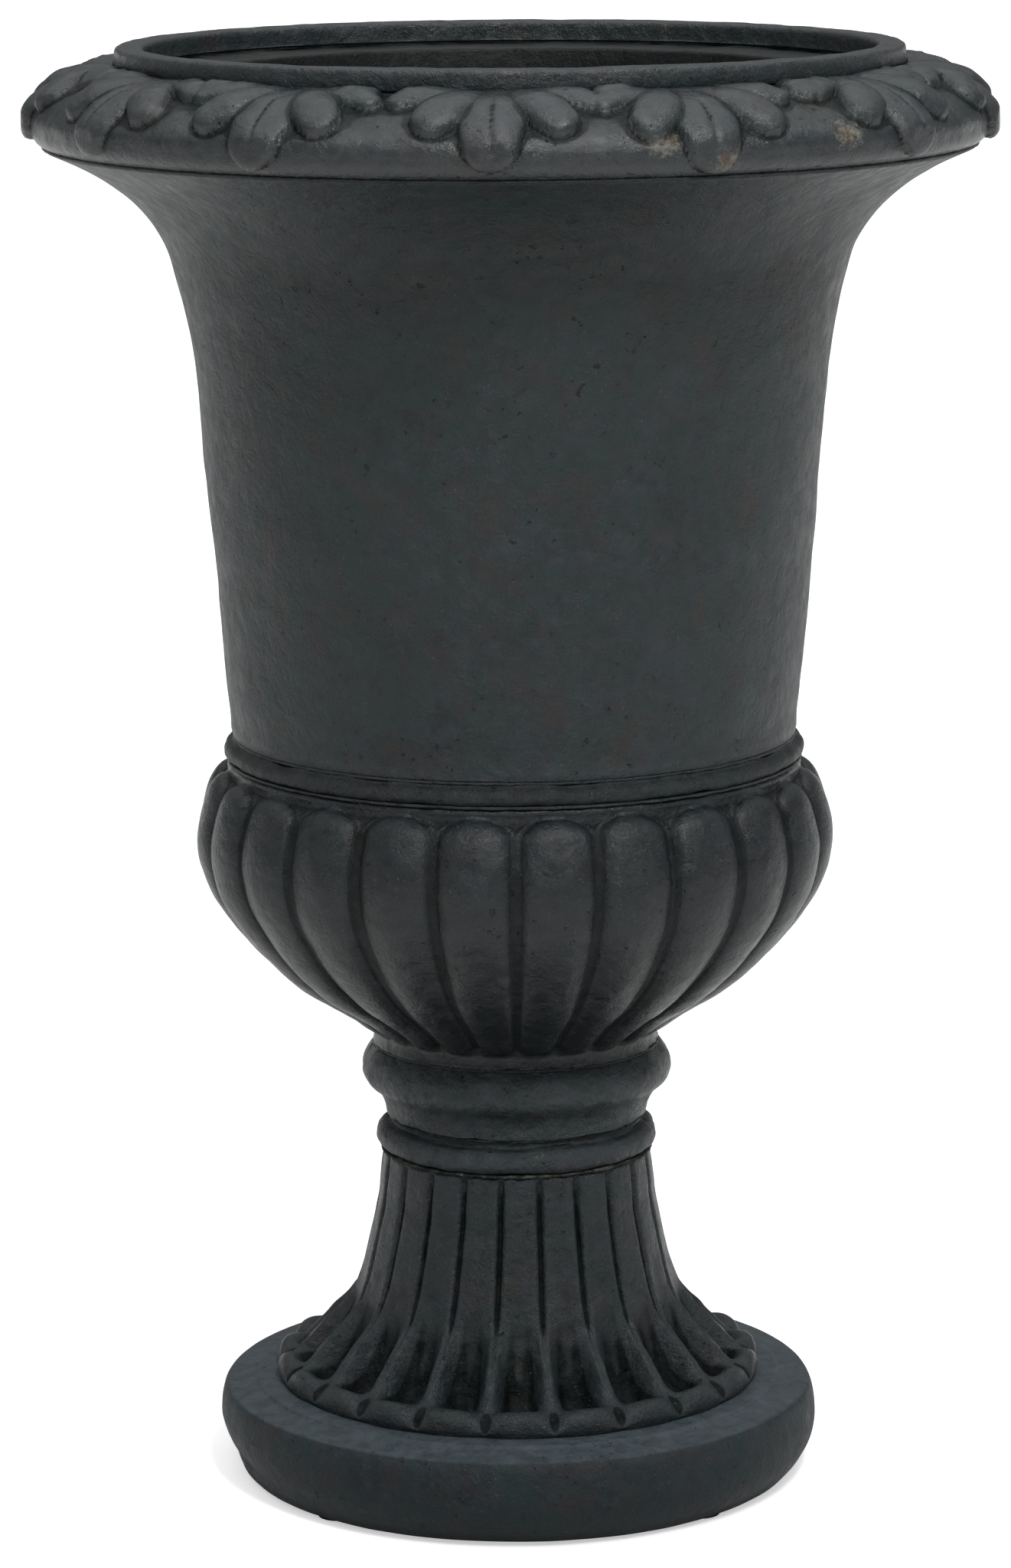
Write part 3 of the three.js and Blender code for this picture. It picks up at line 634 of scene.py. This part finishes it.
bed_ring("bead_bed_mortar", "bead_bed", 362.0, 363.5, 124.5, 141.4, stained_mortar, 0.6, seed=5, sunk=0.5)
bead_side = smooth_line([[138.4, 363.5], [140.8, 363.9], [142.2, 365.3], [142.5, 367.2], [142.1, 369.3],
                         [141, 370.7], [139.6, 371.6], [138.6, 372.2], [138, 373]], 0.7)
bead_inside = [[131, 373], [124.5, 373], [124.5, 368], [124.5, 363.5], [131, 363.5]]
bead_piece = turned("bead_casting", outline_of(bead_side, bead_inside), 24, 16, None, 0.8, 16, 9.3)
bead_stone = cast_stone("bead_stone", (0.0094, 0.0124, 0.0143), (0.0170, 0.0210, 0.0232))
dress(bead_piece, bead_stone, "waist_bead")


# ---------------------------------------------------------------- bell
# The plain tapering shell of the urn. It flares under the roll, and takes the rim's spigot in a rebate
# at its mouth. Its face is rubbed smooth, its inside is left as it came from the mould.

bed_ring("bell_bed_mortar", "bell_bed", 373.0, 374.5, 124.5, 138.3, stained_mortar, 0.4, seed=6, sunk=0.4)
bell_side = smooth_line([[138, 374.5], [138.6, 376], [139, 385], [140.9, 400], [142.6, 420], [144.5, 440],
                         [146, 460], [148.1, 480], [149.2, 500], [150.5, 520], [152.3, 540], [154.5, 560],
                         [157.8, 580], [162.4, 600], [166, 612], [171.2, 622], [178.3, 632], [186.2, 640],
                         [196.6, 648], [209.8, 655.4], [224, 661.7]], 3.2)
bell_inside = [[225, 662.5], [208, 662.5], [190, 662.5], [170, 662.5], [149.5, 662.5], [149.5, 657.5],
               [143, 657.5], [140.8, 635], [138.5, 610], [136.3, 585], [134, 560], [131.8, 535],
               [129.6, 510], [127.4, 485], [125.2, 460], [123.1, 435], [121.3, 412], [119.6, 394],
               [118, 378], [124.5, 378], [124.5, 374.5], [130, 374.5]]
bell_outline = outline_of(bell_side, bell_inside)
rim_seam = 663
bell_piece = turned("bell_casting", bell_outline, 16, 18, None, 0.9, 60, 3.1, seam=rim_seam)
bell_stone = cast_stone("bell_stone", (0.0128, 0.0173, 0.0203), (0.0286, 0.0361, 0.0398),
                        dirt_and_shade=0.15, rough=0.36, crust=0.9, inner=0.1355, grit=0.6)
dress(bell_piece, bell_stone, "bell_body", seam=rim_seam)


# ---------------------------------------------------------------- leaf rim
# The rolled rim, cast in one ring with the ledge inside the collar. Thirteen palmettes hang over the
# roll from the collar's foot, and a bud fills the gap between each two of them.

bed_ring("rim_bed_mortar", "rim_bed", 662.5, 664.0, 150.0, 225.9, stained_mortar, 0.3, seed=7, sunk=0.5)
palmette_count = 13
palmette_turn = math.radians(-2)
roll_side = smooth_line([[225.6, 664], [229.2, 666.2], [231, 669.2], [231.4, 672.4], [231.4, 676.6],
                         [230, 680.6], [226, 685], [219.8, 689.4], [212, 693.3], [203, 696.6], [195, 699],
                         [191, 699.7]], 1.25)
roll_rows = len(roll_side)
rim_inside = [[190.2, 699.6], [189.4, 699], [176, 699], [160, 699], [147, 699], [143.6, 698.4],
              [143, 697], [143, 680], [143, 664], [143, 658], [149, 658], [149, 664], [165, 664],
              [185, 664], [206, 664]]
rim_outline = outline_of(roll_side, rim_inside)
roll_steps = np.linalg.norm(np.diff(roll_side[::-1], axis=0), axis=1)
roll_down = np.concatenate([[0], np.cumsum(roll_steps)])[::-1]
roll_reach = 235.4

# Each leaf of a palmette: its midrib as [round, down] points in mm, its half width and height at the
# same points, and how deep its middle crease is. Those to the left are mirrored.
palmette_leaves = [
    ([[0, -2], [0, 10], [0, 22], [0, 34], [0, 45.5]],
     [6, 9.2, 13, 15.6, 13.2], [1.2, 2.8, 4.6, 4.8, 5.2], 1.5),
    ([[8, -2], [12, 8], [17, 18], [23, 27], [29, 34]],
     [5, 7.6, 9.8, 11, 9.2], [1.2, 3.4, 6.2, 7.6, 6.4], 0),
    ([[11, 1], [19, 4.5], [28, 8.5], [37, 12], [44, 17]],
     [5, 7, 8, 7.8, 5.8], [1.2, 3, 5, 5.8, 4.6], 0),
]
bud_shape = ([[0, 4], [0, 8], [0, 12]], [9.2, 10.4, 8.6], [3.6, 6.2, 5.4], 0)

# How far the carver set the front palmettes, in degrees, and the buds beside them, in mm, off the even
# spacing. The other ones take theirs by chance.
palmette_shifts = {0: 0, 1: -2.2, 12: -0.5}
bud_shifts = {0: 5.5, 1: 13.5, 12: -14.3}


def leaf_stand(side, down, shape):
    """How far a leaf stands out of the roll, in mm, at points `side` round and `down` from the collar.
    It is a dome about the midrib, with a shallow trench round its edge."""
    midrib, widths, heights, crease = shape
    knots = np.linspace(0, 1, len(midrib))
    rib = np.array(midrib, float)
    best = np.full(len(side), -1.0)
    aside, tall, breadth = np.zeros(len(side)), np.zeros(len(side)), np.ones(len(side))
    for share in np.linspace(0, 1, 26):
        x = np.interp(share, knots, rib[:, 0])
        y = np.interp(share, knots, rib[:, 1])
        wide = np.interp(share, knots, widths)
        away = np.hypot(side - x, down - y)
        inside = 1 - away / wide
        closer = inside > best
        best = np.where(closer, inside, best)
        aside = np.where(closer, away, aside)
        tall = np.where(closer, np.interp(share, knots, heights), tall)
        breadth = np.where(closer, wide, breadth)
    dome = np.clip(1 - (1 - np.clip(best, 0, 1)) ** 2.2, 0, 1) ** 0.38
    fold = crease * np.exp(-((aside / 1.1) ** 2)) * np.clip((down - 16) / 8, 0, 1)
    trench = -0.9 * np.exp(-((best * breadth / 1.4) ** 2))
    return np.where(best > 0, np.maximum(tall * dome - fold, 0), trench)


def laid_over(found, new):
    """Joins a leaf to those already laid: the higher one stands, and the trenches round both stay."""
    return np.where(np.maximum(found, new) > 0, np.maximum(found, new), np.minimum(found, new))


def rim_carve(angle, row, r, z):
    """Lays the palmettes and buds on the roll, each a little different, as carved by hand."""
    carved = row < roll_rows
    line = np.minimum(row, roll_rows - 1)
    down = roll_down[line]
    height = np.zeros(len(angle))
    chance = np.random.default_rng(11)
    for copy in range(palmette_count):
        swing = chance.normal(0, 1, 8)
        shift = palmette_shifts.get(copy, 0.7 * swing[6])
        middle = palmette_turn + math.radians(copy * 360 / palmette_count + shift)
        away = (angle - middle + math.pi) % (2 * math.pi) - math.pi
        near = carved & (np.abs(away) < 0.75 * 2 * math.pi / palmette_count)
        side = away[near] * r[near] + 0.8 * swing[0]
        lie = down[near] + 0.8 * swing[1]
        found = height[near]
        for number, shape in enumerate(palmette_leaves):
            for mirror in ((1,) if number == 0 else (1, -1)):
                bent = mirror * side + 0.9 * swing[2 + number] * mirror * lie / 40
                found = laid_over(found, leaf_stand(bent, lie, shape))
        gap = side - math.pi * r[near] / palmette_count - bud_shifts.get(copy, 2.2 * swing[5])
        found = laid_over(found, leaf_stand(gap, lie, bud_shape))
        height[near] = found
    out = outward(rim_outline)[line]
    height = height * np.clip((z - 664) / 2.5, 0, 1)
    new_r = np.minimum(r + height * out[:, 0], roll_reach)
    return np.where(carved, new_r, r), np.where(carved, z + height * out[:, 1], z)


rim_piece = turned("rim_casting", rim_outline, palmette_count, 94, rim_carve, 0.7, 22, 6.6, seam=rim_seam)
lime_spots = [(17.2, 679, 10), (24.4, 671, 10), (41.6, 679, 11), (-29.1, 667, 4), (-83, 676, 6),
              (118, 680, 7)]


def mark_lime(piece, spots):
    """Writes where lime has come out of the stone, as [angle, height, size] spots in degrees and mm.
    A spot is half as wide again as it is high."""
    x, y, z = points_of(piece.data).T * 1000
    salt = np.zeros(len(x))
    for turn, height, size in spots:
        aside = (np.arctan2(x, -y) - math.radians(turn) + math.pi) % (2 * math.pi) - math.pi
        away = np.hypot(np.hypot(x, y) * aside / 1.5, z - height)
        salt = np.maximum(salt, 0.67 * np.exp(-((away / size) ** 2)))
    bloom = piece.data.attributes.new("bloom", "FLOAT", "POINT")
    bloom.data.foreach_set("value", salt.astype(np.float32))


mark_lime(rim_piece, lime_spots)
rim_stone = cast_stone("rim_stone", (0.0106, 0.0142, 0.0166), (0.0190, 0.0238, 0.0267),
                       dirt_and_shade=0.85, rough=0.2, sheen=0.6, crust=0.4, bloom=True, inner=0.176, grit=0.4)
dress(rim_piece, rim_stone, "leaf_rim", seam=rim_seam)


# ---------------------------------------------------------------- collar
# A plain raised ring round the mouth, of the same stone, with softened edges. It is cast by itself and
# set in mortar on the rim's ledge.

bed_ring("collar_bed_mortar", "collar_bed", 699.0, 700.5, 177.4, 188.6, seam_mortar, 0.6, seed=8)
collar_side = smooth_line([[189.6, 700.5], [190.2, 703], [190.3, 706.4], [190, 708.8], [189.2, 710],
                           [187.6, 710.4], [184, 710.5], [181, 710.5], [178.6, 710.3], [177.2, 709.6],
                           [176.6, 708.4], [176.4, 706], [176.4, 703], [176.4, 700.5]], 0.9)
collar_outline = outline_of(collar_side, [[183, 700.5]])
collar_piece = turned("collar_casting", collar_outline, 24, 20, None, 0.4, 24, 8.4)
collar_stone = cast_stone("collar_stone", (0.0124, 0.0163, 0.0191), (0.0210, 0.0260, 0.0294),
                          wear_and_highlight=0.8, rough=0.24, sheen=0.5, grit=0.6)
dress(collar_piece, collar_stone, "rim_collar")


# ---------------------------------------------------------------- rod and fixings
# A zinc plated M12 rod on the axis, with its nuts, washers and spreader bar. It pulls the bowl's floor
# down on the neck, the stem and the plinth. None of it shows, and the CAD solids stay.

def zinc_finish(name):
    """Zinc plate, dulled and spotted with white rust."""
    made, nodes, links, shader, place = new_material(name)
    shader.inputs["Metallic"].default_value = 1.0
    spots = between(nodes, links, grain(nodes, links, place, 210, 5, 0.7), 0.5, 0.66)
    links.new(tint(nodes, links, spots, (0.5, 0.52, 0.53), (0.62, 0.6, 0.56)), shader.inputs["Base Color"])
    links.new(between(nodes, links, spots, 0, 1, 0.32, 0.7), shader.inputs["Roughness"])
    links.new(relief_bump(nodes, links, grain(nodes, links, place, 900), 0.0001), shader.inputs["Normal"])
    return made


zinc_plate = zinc_finish("zinc_plate")
for fixing in ("tie_rod", "tie_nut_upper", "tie_washer_upper", "spreader_bar", "tie_washer_lower",
               "tie_nut_lower"):
    coat(fixing, zinc_plate)
coat("sealing_washer", rubber_finish("seal_rubber"))


# ---------------------------------------------------------------- floor, light and camera
# A plain pale floor under an even white surround, and one soft lamp overhead to the right. The camera
# looks down on the urn as in the photograph, through a long lens.

bm = bmesh.new()
bmesh.ops.create_circle(bm, cap_ends=True, segments=96, radius=60)
floor = in_scene("floor", bm)
floor_white = bpy.data.materials.new("floor_white")
floor_white.use_nodes = True
fnodes, flinks = floor_white.node_tree.nodes, floor_white.node_tree.links
floor_shader = fnodes["Principled BSDF"]
floor_shader.inputs["Roughness"].default_value = 1.0
floor_shader.inputs["Specular IOR Level"].default_value = 0.0
seen = fnodes.new("ShaderNodeLightPath").outputs
shown = sums(fnodes, flinks, "MAXIMUM", seen["Is Camera Ray"], seen["Is Glossy Ray"])
shown = sums(fnodes, flinks, "MAXIMUM", shown, seen["Is Transmission Ray"])
floor_bounce, floor_shown, floor_glow = (0.23, 0.23, 0.23), (0.97, 0.97, 0.97), 0.5
floor_colour = tint(fnodes, flinks, shown, floor_bounce, floor_shown)
flinks.new(floor_colour, floor_shader.inputs["Base Color"])
floor_shader.inputs["Emission Color"].default_value = (1, 1, 1, 1)
glow = sums(fnodes, flinks, "MULTIPLY", seen["Is Camera Ray"], floor_glow)
flinks.new(glow, floor_shader.inputs["Emission Strength"])
floor.data.materials.append(floor_white)

world = bpy.data.worlds.new("surround")
bpy.context.scene.world = world
world.use_nodes = True
wnodes, wlinks = world.node_tree.nodes, world.node_tree.links
sky = wnodes["Background"]
heading = wnodes.new("ShaderNodeSeparateXYZ")
wlinks.new(wnodes.new("ShaderNodeTexCoord").outputs["Generated"], heading.inputs[0])
front_level, back_level, zenith_level = 0.14, 0.17, 1.2
level = between(wnodes, wlinks, heading.outputs["Y"], -0.9, 0.35, front_level, back_level)
overhead = between(wnodes, wlinks, heading.outputs["Z"], 0.35, 1.0, 0.0, zenith_level)
level = sums(wnodes, wlinks, "ADD", level, overhead)
wlinks.new(level, sky.inputs["Strength"])
sky.inputs["Color"].default_value = (1, 1, 1, 1)

lamp_place, lamp_aim = Vector((0.55, -1.9, 2.5)), Vector((0, 0, 0.4))
softbox = bpy.data.lights.new("key_box", "AREA")
softbox.shape, softbox.size, softbox.size_y, softbox.energy = "RECTANGLE", 0.45, 0.6, 38
lamp = bpy.data.objects.new("key_box", softbox)
lamp_turn = (lamp_place - lamp_aim).to_track_quat("Z", "Y").to_matrix().to_4x4()
lamp.matrix_world = Matrix.Translation(lamp_place) @ lamp_turn
bpy.context.scene.collection.objects.link(lamp)

focal_length, picture_width = 7386, 1321
tilt_down, turn_right = 11.095, 0.36
bpy.context.scene.view_settings.view_transform = "Standard"
lens = bpy.data.cameras.new("camera")
lens.sensor_fit, lens.sensor_width = "HORIZONTAL", 36.0
lens.lens = 36.0 * focal_length / picture_width
lens.clip_start, lens.clip_end = 0.1, 200
camera = bpy.data.objects.new("camera", lens)
tilt = Matrix.Rotation(math.radians(90 - tilt_down), 4, "X")
tilt = tilt @ Matrix.Rotation(math.radians(-turn_right), 4, "Z")
camera.matrix_world = Matrix.Translation((-0.0044, -2.7383, 0.8839)) @ tilt
bpy.context.scene.collection.objects.link(camera)
bpy.context.scene.camera = camera
